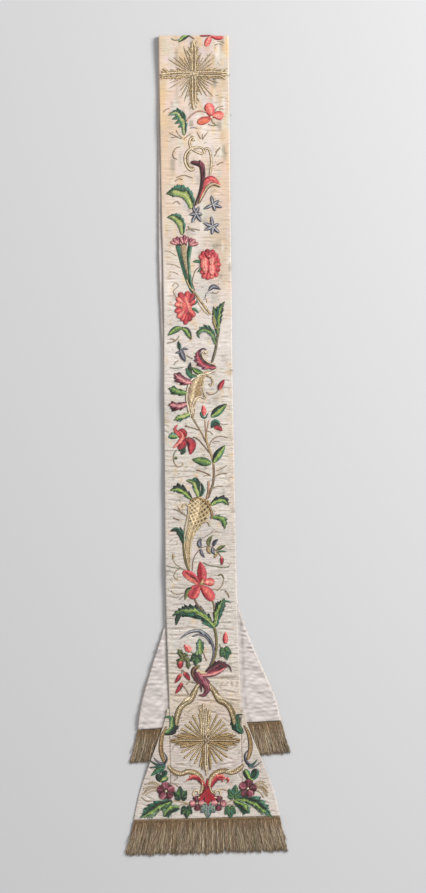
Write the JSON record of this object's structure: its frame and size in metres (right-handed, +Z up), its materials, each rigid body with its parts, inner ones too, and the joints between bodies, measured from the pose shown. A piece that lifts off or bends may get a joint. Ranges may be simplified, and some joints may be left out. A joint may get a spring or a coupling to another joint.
{
  "type": "clergy stole",
  "caption": "Flat-laid silk stole folded at the neck, with flared spade ends, metal-thread fringe, raised gold crosses and scrolls, and a plain silk lining.",
  "frame": {"origin": "centre of the laid-out stole's box, on the surface it lies on", "axes": "+X across the stole to the right, +Y along it towards the neck fold, +Z up from the surface"},
  "size_m": [0.2119, 1.0674, 0.0082],
  "materials": {
    "embroidered_silk": "ivory ribbed silk, softly lustrous, stained tan near the neck",
    "lining_silk": "plain pale silk, wrinkled and softly shiny",
    "fringe_thread": "tarnished metal-wrapped thread",
    "gold_thread": "couched gold thread with a metallic glint"
  },
  "bodies": {
    "root": {"band_front": "embroidered_silk", "band_back": "embroidered_silk", "gore_front_left": "embroidered_silk", "gore_front_right": "embroidered_silk", "gore_back_left": "embroidered_silk", "gore_back_right": "embroidered_silk", "lining_back": "lining_silk", "fringe_front": "fringe_thread", "fringe_back": "fringe_thread", "cross_neck": "gold_thread", "cross_front": "gold_thread", "frame_arch_left": "gold_thread", "frame_arch_right": "gold_thread", "frame_side_left": "gold_thread", "frame_side_right": "gold_thread", "frame_sweep_left": "gold_thread", "frame_sweep_right": "gold_thread", "gold_shell": "gold_thread", "gold_horn": "gold_thread"}
  },
  "joints": []
}
